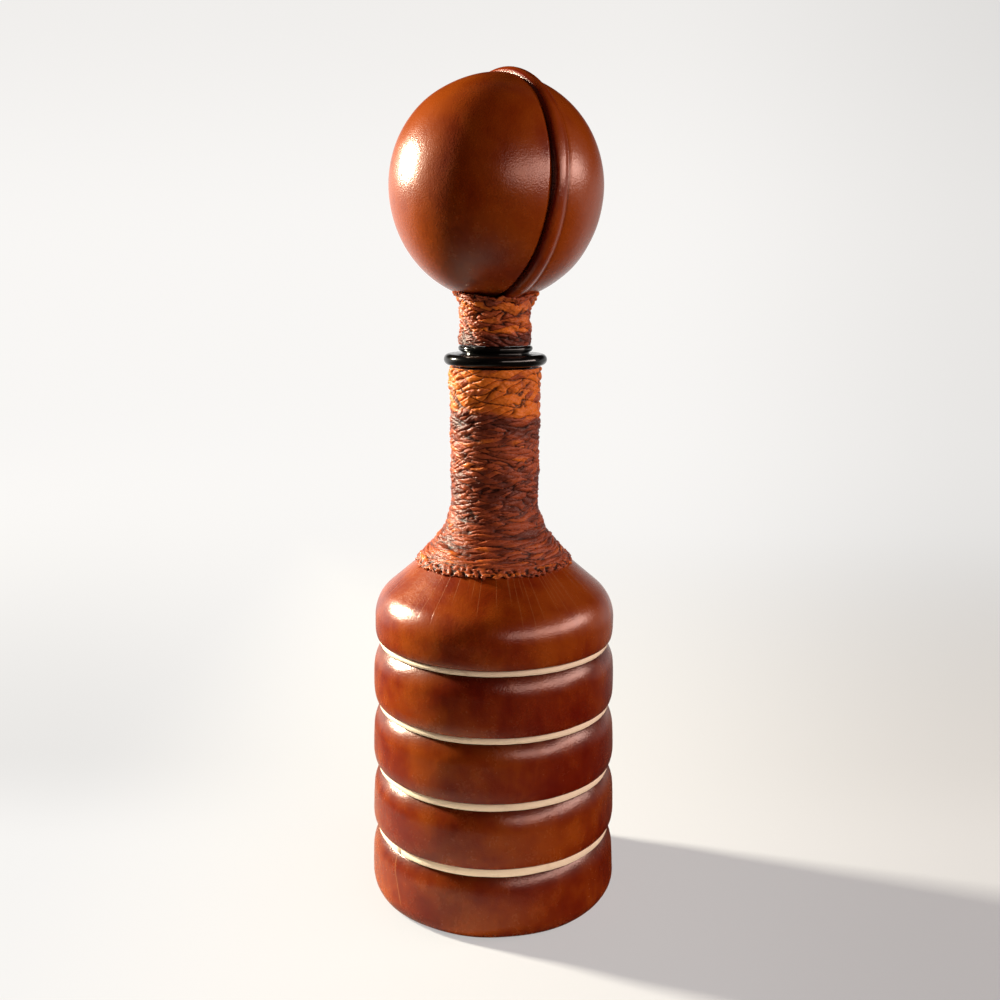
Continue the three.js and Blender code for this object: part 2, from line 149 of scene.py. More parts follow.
def shoulder_start(sizes):
    """The height at which the shoulder starts to turn in."""
    return sum(reach(LACES[-1])[:2]) / 2 + sizes.shoulder_wall


# Profiles, as arrays of (radius, height)


def arc(centre, semi_axes, start, end, count):
    """Points on an ellipse from one angle to another, ends included. One semi-axis makes a circle."""
    angle = np.linspace(start, end, count)
    return np.asarray(centre) + np.asarray(semi_axes) * np.stack((np.cos(angle), np.sin(angle)), 1)


def travel(profile):
    """The distance along a profile at each of its points."""
    return np.concatenate(([0], np.cumsum(np.hypot(*np.diff(profile, axis=0).T))))


def even(profile, count):
    """The profile again, as points at equal steps along it."""
    path = np.asarray(profile)
    travelled = travel(path)
    wanted = np.linspace(0, travelled[-1], count)
    return np.stack([np.interp(wanted, travelled, column) for column in path.T], 1)


def outward(profile):
    """Unit normals of a profile that runs with the solid on its left: its direction, turned to the right."""
    along = np.gradient(profile, axis=0)
    along /= np.maximum(np.hypot(*along.T), 1e-12)[:, None]
    return np.stack((along[:, 1], -along[:, 0]), 1)


def sweep_into_neck(start, pitch, radius, fillet, count):
    """A slope that rises from a point and sweeps round a fillet into an upright neck."""
    slope = QUARTER - pitch
    leave = radius + fillet * (1 - math.cos(slope))
    rise = start[1] + (start[0] - leave) / math.tan(slope)
    centre = (radius + fillet, rise + fillet * math.sin(slope))
    return arc(centre, fillet, math.pi + slope, math.pi, count)


# Relief, on whole arrays


def wander(angle, height, seed, turns=7, pitch=0.05, count=20, least=1):
    """A smooth uneven field of about -1 to 1: cosines with whole turns round the axis and random phases.

    turns is the most waves once round, least the fewest, and pitch a wave's height in metres. angle and
    height may be a row and a column, which make a grid.
    """
    draw = np.random.default_rng(seed)
    around = draw.integers(least, turns + 1, count)
    up = draw.normal(0, TAU / pitch, count)
    phase = draw.uniform(0, TAU, count)
    size = 1 / np.sqrt(around)
    waves = np.cos(angle[..., None] * around + np.asarray(height)[..., None] * up + phase) * size
    return waves.sum(-1) / np.sqrt((size**2).sum() * 2)


def leaning_waves(turns, rise, lean, around, seed, count=24):
    """A random field of about -2 to 2 whose crests lean one way: cosines with whole turns round the axis.

    rise is the height in folds, lean the slope of the crests, and around the folds that fit once round.
    """
    draw = np.random.default_rng(seed)
    stretch = np.exp(draw.normal(0, 0.32, count))
    slope = np.tan(draw.normal(lean, 0.16, count))
    whole = np.round(stretch * slope * around / 2)
    phase = draw.uniform(0, TAU, count)
    field = np.zeros(np.broadcast_shapes(turns.shape, rise.shape))
    for k in range(count):
        field += np.cos(whole[k] * turns + math.pi * stretch[k] * rise + phase[k])
    return field * math.sqrt(2 / count)


def crossing_folds(turns, rise, lean, around, seed):
    """Lozenge-shaped folds: creases where either of two fields that lean opposite ways is nought.

    Gives the height, 0 in a crease and near 1 on a fold, and a tone that differs between neighbouring folds.
    """
    right = leaning_waves(turns, rise, lean, around, seed)
    left = leaning_waves(turns, rise, -lean, around, seed + 1)
    crease = 0.42
    height = 1 - np.exp(-np.minimum(np.abs(right), np.abs(left)) / crease)
    checked, striped = np.tanh(right * 4) * np.tanh(left * 4), np.tanh(left * 3)
    return height, 0.5 + 0.22 * checked + 0.14 * striped


def ease(value, low, high):
    """0 below low, 1 above high, and a smooth step between them."""
    share = np.clip((value - low) / (high - low), 0, 1)
    return share * share * (3 - 2 * share)


# Meshes


def ring(count):
    """Angles at equal steps once round, counted from the front towards the right."""
    return np.linspace(0, TAU, count, endpoint=False)


def from_bearing(angle, bearing):
    """Angles counted from a bearing, from minus half a turn to half a turn."""
    return (angle - bearing + math.pi) % TAU - math.pi


def around_axis(profile, angle, push=0.0, lift=0.0):
    """A profile turned about Z by each angle from the front, with push along its normal and lift in Z.

    The place is (radius * sin(angle), -radius * cos(angle), height).
    """
    normal = outward(profile)
    radius = profile[:, :1] + push * normal[:, :1]
    height = profile[:, 1:] + push * normal[:, 1:] + lift
    radius, height = np.broadcast_arrays(radius, height, angle[None, :])[:2]
    return np.stack((radius * np.sin(angle), -radius * np.cos(angle), height), -1)


def skin(name, points, closed=False, fields=None):
    """A mesh over a grid of points that wraps round its second index.

    closed joins the last row to the first. Otherwise each end is closed by a fan round its middle.
    fields are values at the grid's points, kept as attributes for the finish.
    """
    rows, columns = points.shape[:2]
    number = np.arange(rows * columns).reshape(rows, columns)
    below, above = (number, np.roll(number, -1, 0)) if closed else (number[:-1], number[1:])
    quads = np.stack((below, np.roll(below, -1, 1), np.roll(above, -1, 1), above), -1).reshape(-1, 4)
    corners = points.reshape(-1, 3)
    fans = np.zeros((0, 3), int)
    if not closed:
        middle = rows * columns
        corners = np.vstack((corners, points[0].mean(0), points[-1].mean(0)))
        first, last = number[0], number[-1]
        start = np.stack((np.roll(first, -1), first, np.full(columns, middle)), -1)
        end = np.stack((last, np.roll(last, -1), np.full(columns, middle + 1)), -1)
        fans = np.vstack((start, end))
    split = np.vstack((quads[:, [0, 1, 2]], quads[:, [0, 2, 3]], fans))
    a, b, c = (corners[split[:, k]] for k in range(3))
    if np.einsum("ij,ij->", a, np.cross(b, c)) < 0:
        quads, fans = quads[:, ::-1], fans[:, ::-1]

    mesh = bpy.data.meshes.new(name)
    mesh.vertices.add(len(corners))
    mesh.vertices.foreach_set("co", corners.ravel())
    loops = np.concatenate((quads.ravel(), fans.ravel()))
    mesh.loops.add(len(loops))
    mesh.loops.foreach_set("vertex_index", loops)
    sides = np.concatenate((np.full(len(quads), 4), np.full(len(fans), 3)))
    mesh.polygons.add(len(sides))
    mesh.polygons.foreach_set("loop_start", np.concatenate(([0], np.cumsum(sides)[:-1])))
    mesh.polygons.foreach_set("use_smooth", np.ones(len(sides), bool))
    mesh.update(calc_edges=True)
    for field, values in (fields or {}).items():
        spread = np.zeros(len(corners), np.float32)
        spread[: rows * columns] = np.broadcast_to(values, (rows, columns)).ravel()
        mesh.attributes.new(field, "FLOAT", "POINT").data.foreach_set("value", spread)
    mesh.validate()
    piece = bpy.data.objects.new(name, mesh)
    bpy.context.scene.collection.objects.link(piece)
    return piece


def dress(piece, material, body, node):
    """Gives a piece its finish and its body, and hides the CAD node that it stands for."""
    piece.data.materials.append(material)
    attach(piece, body)
    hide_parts(node)


# Finishes


class Wire:
    """A shader value. Arithmetic on wires and numbers adds Math nodes."""

    def __init__(self, graph, socket):
        self.graph = graph
        self.socket = socket

    def other(self, name):
        """Another output of the same node."""
        return Wire(self.graph, self.socket.node.outputs[name])

    def math(self, operation, *values):
        """A Math node on this value and others."""
        return self.graph.math(operation, self, *values)

    def __add__(self, value):
        return self.math("ADD", value)

    def __sub__(self, value):
        return self.math("SUBTRACT", value)

    def __rsub__(self, value):
        return self.graph.math("SUBTRACT", value, self)

    def __mul__(self, value):
        return self.math("MULTIPLY", value)

    def __truediv__(self, value):
        return self.math("DIVIDE", value)

    def __rtruediv__(self, value):
        return self.graph.math("DIVIDE", value, self)

    __radd__ = __add__
    __rmul__ = __mul__


class Graph:
    """The nodes of one material or world."""

    def __init__(self, tree):
        self.tree = tree
        tree.nodes.clear()

    def node(self, kind, settings=None, inputs=None, output=0):
        """A node whose settings are made first, then its inputs linked or set. Gives an output, if any."""
        made = self.tree.nodes.new(kind)
        for key, value in (settings or {}).items():
            setattr(made, key, value)
        for key, value in (inputs or {}).items():
            if isinstance(value, Wire):
                self.tree.links.new(value.socket, made.inputs[key])
            else:
                made.inputs[key].default_value = value
        return Wire(self, made.outputs[output]) if made.outputs else None

    def math(self, operation, *values):
        """A Math node on wires and numbers."""
        return self.node("ShaderNodeMath", {"operation": operation}, dict(enumerate(values)))

    def place(self):
        """Object coordinates."""
        return self.node("ShaderNodeTexCoord", output="Object")

    def axes(self, vector):
        """The three coordinates of a vector."""
        x = self.node("ShaderNodeSeparateXYZ", None, {0: vector})
        return x, x.other("Y"), x.other("Z")

    def field(self, name):
        """An attribute of the mesh."""
        return self.node("ShaderNodeAttribute", {"attribute_name": name}, output="Fac")

    def stretched(self, vector, scale):
        """A vector with each axis scaled."""
        return self.node("ShaderNodeVectorMath", {"operation": "MULTIPLY"}, {0: vector, 1: scale})

    def noise(self, vector, size, detail=3.0, roughness=0.55, shift=0.0):
        """Cloudy noise of 0 to 1 with features of a size in metres. shift gives another piece of cloud."""
        inputs = {"Vector": vector, "W": shift, "Scale": 1 / size, "Detail": detail, "Roughness": roughness}
        return self.node("ShaderNodeTexNoise", {"noise_dimensions": "4D"}, inputs)

    def chance(self, number):
        """A random value of 0 to 1 for each number."""
        return self.node("ShaderNodeTexWhiteNoise", {"noise_dimensions": "1D"}, {"W": number})

    def cells(self, vector, size, feature="F1"):
        """Distance in a scatter of cells of a size in metres."""
        return self.node("ShaderNodeTexVoronoi", {"feature": feature}, {"Vector": vector, "Scale": 1 / size})

    def step(self, value, low, high):
        """0 at low, 1 at high, smooth between them. low may be above high."""
        inputs = {"Value": value, "From Min": low, "From Max": high}
        return self.node("ShaderNodeMapRange", {"interpolation_type": "SMOOTHSTEP"}, inputs)

    def blend(self, share, first, second):
        """Two colours mixed by a share."""
        inputs = {0: share, 6: self.paint(first), 7: self.paint(second)}
        return self.node("ShaderNodeMix", {"data_type": "RGBA"}, inputs, 2)

    def paint(self, value):
        """A colour as a wire or as four numbers."""
        return value if isinstance(value, Wire) else (*value[:3], 1.0)

    def bump(self, height, depth, normal=None):
        """A bump that rises by depth, in metres, over a height of 0 to 1."""
        inputs = {"Height": height, "Distance": depth, "Strength": 1.0}
        if normal:
            inputs["Normal"] = normal
        return self.node("ShaderNodeBump", None, inputs)

    def surface(self, **values):
        """A Principled surface as the material's output. Keys are socket names with _ for spaces."""
        inputs = {key.replace("_", " "): value for key, value in values.items()}
        inputs["Base Color"] = self.paint(inputs["Base Color"])
        self.end(self.node("ShaderNodeBsdfPrincipled", None, inputs))

    def end(self, shader, kind="ShaderNodeOutputMaterial"):
        """The output of the material or the world."""
        self.node(kind, None, {"Surface": shader})


def finish(name):
    """A new material and the graph of its nodes."""
    material = bpy.data.materials.new(name)
    material.use_nodes = True
    return material, Graph(material.node_tree)


def once(make):
    """A finish with its function's name, made at its first use and the same one after that."""
    made = []

    def get():
        if not made:
            material, graph = finish(make.__name__)
            make(graph, bpy.context.scene.decanter_colours)
            made.append(material)
        return made[0]

    return get


def chestnut(graph, colours, mark=None):
    """Waxed chestnut leather: cloudy dye in three tones and a fine grain.

    It is painted lighter on some faces, painted light, and painted darker at edges, grooves and seams,
    painted shade. hide is a number that gives each piece its own clouds. mark is a function of the graph and
    the place that gives a mask for light scratches or a seam.
    """
    place, hide = graph.place(), graph.field("hide")
    streaky = graph.stretched(place, (1, 1, 0.7))
    cloud = graph.noise(place, 28 * MM, 3, 0.5, hide)
    blotch = graph.noise(streaky, 7 * MM, 4, 0.5, hide + 3)
    fibre = graph.noise(graph.stretched(place, (1, 1, 0.12)), 1.1 * MM, 3, 0.6, hide + 9)
    fleck = graph.noise(place, 1.3 * MM, 3, 0.5, hide + 6)
    dye = cloud * 0.62 + blotch * 0.31 + fibre * 0.07
    tone = graph.blend(graph.step(dye, 0.35, 0.52), colours.leather_deep, colours.leather_body)
    tone = graph.blend(graph.step(dye, 0.45, 0.63), tone, colours.leather_amber)
    # Painted light: lighter where the piece's field for it says the lamps fall
    tone = graph.blend(graph.field("painted_light") * graph.step(dye, 0.22, 0.52), tone, colours.leather_amber)
    # Painted shade: darker at edges, grooves and seams where the piece's field for it says shade falls
    tone = graph.blend(graph.field("painted_shade") * 0.8, tone, colours.leather_shade)
    grain = graph.cells(place, 0.55 * MM, "SMOOTH_F1")
    normal = graph.bump(blotch, 0.16 * MM)
    normal = graph.bump(fleck, 0.045 * MM, normal)
    normal = graph.bump(grain, 0.05 * MM, normal)
    if mark:
        mask = mark(graph, place)
        tone = graph.blend(mask * 0.36, tone, colours.scratch)
        normal = graph.bump(mask, 0.02 * MM, normal)
    graph.surface(
        Base_Color=tone,
        Roughness=0.2 + blotch * 0.08 + fleck * 0.05,
        IOR=1.67,
        Specular_Tint=(1, 0.71, 0.64, 1),
        Normal=normal,
    )


def polar(graph, place):
    """The angle from the front towards the right, the distance from the axis and the height of a place."""
    x, y, z = graph.axes(place)
    return graph.math("ARCTAN2", x, y * -1), graph.math("SQRT", x * x + y * y), z


def radial_scratches(graph, place):
    """Fine scratches down the shoulder from the edge of the neck wrap, at random turns and lengths."""
    turns, radius, height = polar(graph, place)
    skirt = reach("neck_wrap")[0]
    marks = 0.0
    for count, shift in ((97, 0.1), (71, 0.6)):
        share = turns * (count / TAU) + (height - skirt) * (30 * shift)
        cell = graph.math("FLOOR", share)
        turned, longer = graph.chance(cell + shift), graph.chance(cell + shift + 0.37)
        aside = graph.math("ABSOLUTE", share - cell - 0.15 - turned * 0.7) * radius * (TAU / count)
        low = skirt - (longer * 23 - 6) * MM
        line = graph.step(aside, 0.13 * MM, 0.04 * MM) * graph.step(height - low, 0.0, 5 * MM)
        marks = line * graph.step(longer, 0.42, 0.6) + marks
    return marks


def slanting_seam(graph, place):
    """The joint of the base band: a fine line that slants across its front left."""
    turns, radius, height = polar(graph, place)
    slant, middle, bearing = math.radians(-5.5) / (14 * MM), 22 * MM, math.radians(-52)
    seam = (height - middle) * slant + bearing
    aside = graph.math("ABSOLUTE", turns - seam) * radius
    ends = graph.step(height, 5 * MM, 8 * MM) * graph.step(height, 26 * MM, 23 * MM)
    return graph.step(aside, 0.3 * MM, 0.1 * MM) * ends


@once
def smooth_leather(graph, colours):
    """The leather of the middle bands and the ball."""
    chestnut(graph, colours)


@once
def shoulder_leather(graph, colours):
    """The leather of the shoulder, scratched below the neck wrap."""
    chestnut(graph, colours, radial_scratches)


@once
def base_leather(graph, colours):
    """The leather of the base band, with its joint."""
    chestnut(graph, colours, slanting_seam)


@once
def crinkled_leather(graph, colours):
    """Crinkled leather: windings of three dyes, no two folds alike, with waxed ridges and painted shade in
    the creases.
    """
    place = graph.place()
    ridge, tone, dye = graph.field("ridge"), graph.field("tone"), graph.field("dye")
    cloud = graph.noise(graph.stretched(place, (1, 1, 1.8)), 5 * MM, 5, 0.7)
    fibre = graph.noise(graph.stretched(place, (1, 1, 2.2)), 1.3 * MM, 4, 0.7)
    mixed = dye + (tone - 0.5) * 0.55 + (cloud - 0.5) * 0.7
    shade = graph.blend(graph.step(mixed, 0.15, 0.5), colours.wrap_umber, colours.wrap_russet)
    shade = graph.blend(graph.step(mixed, 0.55, 0.95), shade, colours.wrap_amber)
    # Painted shade: the creases, low in the ridge field, are darkened towards black
    deep = graph.step(ridge + (fibre - 0.5) * 0.6, 0.55, 0.1)
    shade = graph.blend(deep * 0.92, shade, colours.wrap_crease_shade)
    normal = graph.bump(fibre, 0.28 * MM)
    normal = graph.bump(graph.noise(place, 0.5 * MM, 2), 0.04 * MM, normal)
    graph.surface(
        Base_Color=shade,
        Roughness=0.34 - ridge * 0.14 + fibre * 0.12,
        IOR=1.28,
        Normal=normal,
    )


@once
def pale_lace(graph, colours):
    """Undyed leather lace: pale and matt, soiled here and there, with painted shade along its edges and
    joint.
    """
    place = graph.place()
    soil = graph.noise(place, 5 * MM, 4, 0.65)
    fibre = graph.noise(graph.stretched(place, (1, 1, 4)), 0.9 * MM, 3, 0.6)
    # Soil in random patches, and painted shade along the edges and at the joint
    stain = graph.step(soil, 0.52, 0.8) * 0.35 + graph.field("painted_shade") * (0.35 + soil * 0.6)
    tone = graph.blend(stain, colours.lace, colours.lace_soil_and_shade)
    graph.surface(
        Base_Color=tone,
        Roughness=0.55 + fibre * 0.2,
        Normal=graph.bump(fibre, 0.07 * MM),
    )


@once
def black_gloss(graph, colours):
    """Polished black: a clear gloss with faint turning marks and a little haze."""
    place = graph.place()
    haze = graph.noise(place, 7 * MM, 4, 0.6)
    marks = graph.noise(graph.stretched(place, (0.1, 0.1, 1)), 0.35 * MM, 2)
    graph.surface(
        Base_Color=colours.collar,
        Roughness=0.07 + haze * 0.12,
        IOR=1.45,
        Normal=graph.bump(marks, 0.006 * MM),
    )


@once
def clear_glass(graph, _):
    """Clear blown glass, very slightly uneven."""
    ripple = graph.noise(graph.place(), 18 * MM, 2)
    graph.surface(
        Base_Color=(0.93, 0.97, 0.95),
        Roughness=0.03 + ripple * 0.02,
        Transmission_Weight=1.0,
        IOR=1.5,
        Normal=graph.bump(ripple, 0.05 * MM),
    )


@once
def natural_cork(graph, colours):
    """Cork: warm brown cells with dark pits."""
    place = graph.place()
    cell = graph.cells(place, 1.6 * MM)
    cloud = graph.noise(place, 4 * MM, 4, 0.65)
    pit = graph.step(cloud, 0.62, 0.7)
    tone = graph.blend(graph.step(cell, 0.2, 0.8) * 0.4 + cloud * 0.3, colours.cork, colours.wood)
    tone = graph.blend(pit * 0.8, tone, colours.sole)
    graph.surface(
        Base_Color=tone,
        Roughness=0.75 + cloud * 0.15,
        Normal=graph.bump(cell - pit, 0.12 * MM),
    )


@once
def turned_wood(graph, colours):
    """Plain turned wood with grain along its length."""
    grain = graph.noise(graph.stretched(graph.place(), (1, 1, 0.08)), 1.2 * MM, 4, 0.6)
    graph.surface(
        Base_Color=graph.blend(graph.step(grain, 0.35, 0.65) * 0.6, colours.wood, colours.cork),
        Roughness=0.5 + grain * 0.2,
        Normal=graph.bump(grain, 0.05 * MM),
    )


@once
def pressed_felt(graph, colours):
    """Pressed wool felt."""
    wool = graph.noise(graph.place(), 0.8 * MM, 5, 0.7)
    graph.surface(
        Base_Color=graph.blend(wool, colours.felt, colours.lace_soil_and_shade),
        Roughness=0.9 + wool * 0.08,
        Normal=graph.bump(wool, 0.2 * MM),
    )


@once
def sole_leather(graph, colours):
    """Plain dark leather under the foot, scuffed from standing."""
    place = graph.place()
    scuff = graph.noise(place, 5 * MM, 5, 0.7)
    grain = graph.cells(place, 0.8 * MM, "SMOOTH_F1")
    graph.surface(
        Base_Color=graph.blend(graph.step(scuff, 0.5, 0.75), colours.sole, colours.wrap_umber),
        Roughness=0.65 + scuff * 0.2,
        Normal=graph.bump(grain, 0.05 * MM),
    )


# Pieces


class DECANTER_OT_bands(bpy.types.Operator):
    """The base band, the three middle bands and the shoulder cover"""

    bl_idname = "decanter.bands"
    bl_label = "Leather bands"

    columns = 288
    rows = 110
    arc_points = 18
    tight_turn = 0.7 * MM
    sole_gap = 0.3 * MM
    mouth_lip = 1.5 * MM
    cover_foot = 3 * MM
    broad_uneven = 0.16 * MM
    fine_uneven = 0.05 * MM
    # How far the painted shade reaches under a lace and above the next lace down, and how dark it is there
    top_shade_reach = 3.2 * MM
    foot_shade_reach = 0.8 * MM
    foot_shade_share = 0.4

    def lower_edge(self, k):
        """The lower edge of band k: a quarter ellipse from its groove out to the crest."""
        lip, _, crest = reach(BANDS[k])
        deep, tall = self.sizes.under_depth, self.sizes.under_roll
        return arc((crest - deep, lip + tall), (deep, tall), -QUARTER, 0, self.arc_points)

    def upper_edge(self, k):
        """The upper edge of band k: a round roll from the crest, then a tight turn into its groove."""
        lip = reach(BANDS[k])[1]
        crest, roll, lean = reach(BANDS[k + 1])[2], self.sizes.top_roll, self.sizes.top_lean
        tight = self.tight_turn
        start = lip - tight - (roll - tight) * math.sin(lean)
        broad = arc((crest - roll, start), roll, 0, lean, self.arc_points)
        inner = (crest - roll + (roll - tight) * math.cos(lean), lip - tight)
        return np.vstack((broad, arc(inner, tight, lean, QUARTER, 8)[1:]))

    def foot(self):
        """The roll under the foot of the base band, out to the crest."""
        sizes = self.sizes
        crest = reach("base_band")[2]
        sole = reach("base_pad")[2] + self.sole_gap
        centre = (crest - sizes.base_roll_depth, sizes.base_roll_height)
        roll = arc(centre, (sizes.base_roll_depth, sizes.base_roll_height), -QUARTER, 0, self.arc_points)
        return np.vstack(([(sole, sizes.leather), (sole, 0)], roll))

    def shoulder(self):
        """The turn and slope of the shoulder, up to its mouth."""
        sizes = self.sizes
        crest = reach("shoulder_cover")[2]
        start = shoulder_start(sizes)
        slope = QUARTER - sizes.shoulder_pitch
        turned = arc((crest - sizes.shoulder_round, start), sizes.shoulder_round, 0, slope, self.arc_points)
        last = turned[-1]
        mouth = (sizes.cover_mouth, last[1] + (last[0] - sizes.cover_mouth) / math.tan(slope))
        return np.vstack((turned, even([last, mouth], 24)[1:]))

    def execute(self, context):
        self.sizes = sizes = context.scene.decanter_sizes
        angle = ring(self.columns)
        last = len(BANDS) - 1
        # Each band is a closed profile turned about Z, pushed out by its swell and a smooth unevenness
        for k, name in enumerate(BANDS):
            start = self.foot() if k == 0 else self.lower_edge(k)
            end = self.shoulder() if k == last else self.upper_edge(k)
            outside = even(np.vstack((start, end)), self.rows)
            inner = min(outside[0, 0], outside[-1, 0]) - sizes.leather
            top, bottom = outside[-1, 1] - sizes.leather, outside[0, 1] + sizes.leather
            back = np.array([(inner, top), (inner, bottom)])
            if k == last:
                back[0, 0] = sizes.cover_mouth - self.mouth_lip
                back[1] = (outside[0, 0] - self.cover_foot, outside[0, 1])
            if k == 0:
                back[1, 0] = outside[0, 0]
            profile = np.vstack((outside, back))
            low, high = outside[:, 1].min(), outside[:, 1].max()
            share = np.clip((profile[:, 1:] - low) / (high - low), 0, 1)
            crowned = np.sin(math.pi * share) if 0 < k < last else 0 * share
            uneven = wander(angle, profile[:, 1:], 10 + k, 9, 40 * MM) * self.broad_uneven
            uneven = uneven + wander(angle, profile[:, 1:], 30 + k, 26, 11 * MM) * self.fine_uneven
            uneven[-2:] = 0
            skinned = around_axis(profile, angle, crowned * sizes.band_swell + uneven)
            # Painted shade: darker under each lace, where the band's roll faces up, and a little just above
            # the lace below
            above_lip = profile[:, 1:] - low if k else math.inf
            below_lip = high - profile[:, 1:] if k < last else math.inf
            painted_shade = np.exp(-np.maximum(below_lip, 0) / self.top_shade_reach)
            at_foot = np.exp(-np.maximum(above_lip, 0) / self.foot_shade_reach)
            painted_shade = np.minimum(painted_shade + self.foot_shade_share * at_foot, 1)
            piece = skin(f"{name}_leather", skinned, True, {"painted_shade": painted_shade, "hide": 11.0 * k})
            leather = {0: base_leather, last: shoulder_leather}.get(k, smooth_leather)
            dress(piece, leather(), "bottle", name)
        return {"FINISHED"}


class DECANTER_OT_laces(bpy.types.Operator):
    """The pale laces in the grooves"""

    bl_idname = "decanter.laces"
    bl_label = "Pale laces"

    columns = 480
    # Where each lace's joint is, in degrees from the front towards the right
    joints = (-50, 158, 201, 176)
    corner = 0.45 * MM
    inset = 0.35 * MM
    thickness = 2.6 * MM
    joint_reach = 0.45 * MM
    joint_depth = 1.1 * MM
    waver = 0.1 * MM
    unevenness = 0.08 * MM

    def execute(self, context):
        crown = context.scene.decanter_sizes.lace_crown
        angle, corner = ring(self.columns), self.corner
        # Each lace is a strip's section, swollen at the face, turned about Z and pressed in at its joint
        for k, name in enumerate(LACES):
            low, high, face = reach(name)
            middle, half = (low + high) / 2, (high - low) / 2
            bulge = np.linspace(-1, 1, 9)
            radius = face - self.inset + crown * (1 - bulge**2)
            swollen = np.stack((radius, middle + bulge * (half - corner)), 1)
            below = arc((swollen[0, 0] - corner, swollen[0, 1]), corner, -QUARTER, 0, 5)[:-1]
            above = arc((swollen[-1, 0] - corner, swollen[-1, 1]), corner, 0, QUARTER, 5)[1:]
            rounded = np.vstack((below, swollen, above))
            back = face - self.thickness
            profile = np.vstack(([(back, low)], rounded, [(back, high)]))
            lift = wander(angle, 0, 60 + k, 11) * self.waver
            uneven = wander(angle, profile[:, 1:], 70 + k, 40, 6 * MM) * self.unevenness
            from_joint = from_bearing(angle, math.radians(self.joints[k]))
            gap = np.exp(-((from_joint * face / self.joint_reach) ** 2))
            skinned = around_axis(profile, angle, uneven - gap * self.joint_depth, lift)
            edge = np.abs(profile[:, 1:] - middle) / half
            # Painted shade along the lace's edges, where it meets the bands, and in its pressed-in joint
            painted_shade = np.maximum(ease(edge, 0.75, 1.0), gap)
            piece = skin(f"{name}_strip", skinned, True, {"painted_shade": painted_shade})
            dress(piece, pale_lace(), "bottle", name)
        return {"FINISHED"}


def crinkle(profile, angle, seed, spacing, depth):
    """A wrapped profile's folds: the push out of the surface, and the ridge and tone fields for the finish.

    Broad lozenges carry finer ones, and both ride on a slow swell. spacing is a fold's height along the
    profile.
    """
    along = travel(profile)
    steps = np.diff(along) * 2 / (spacing[1:] + spacing[:-1])
    rise = np.concatenate(([0], np.cumsum(steps)))[:, None]
    around = TAU * profile[:, 0].min() / spacing.mean()
    turns = angle[None, :]
    finer, slower = 2.2, 0.45
    broad, tone = crossing_folds(turns, rise, 0.27, around, seed)
    fine, _ = crossing_folds(turns, rise * finer, 0.42, around * finer, seed + 2)
    swell = leaning_waves(turns, rise * slower, 0.5, around * slower, seed + 4)
    middle = 0.66
    height = broad * 0.74 + fine * 0.26 - middle + swell * 0.14
    ridge = broad * 0.85 + fine * 0.15
    return height * depth, ridge, tone + swell * 0.12


def with_lining(fields):
    """Fields of a wrap's face, with two rows of nought for its lining."""
    return {name: np.vstack((values, 0 * values[:2])) for name, values in fields.items()}


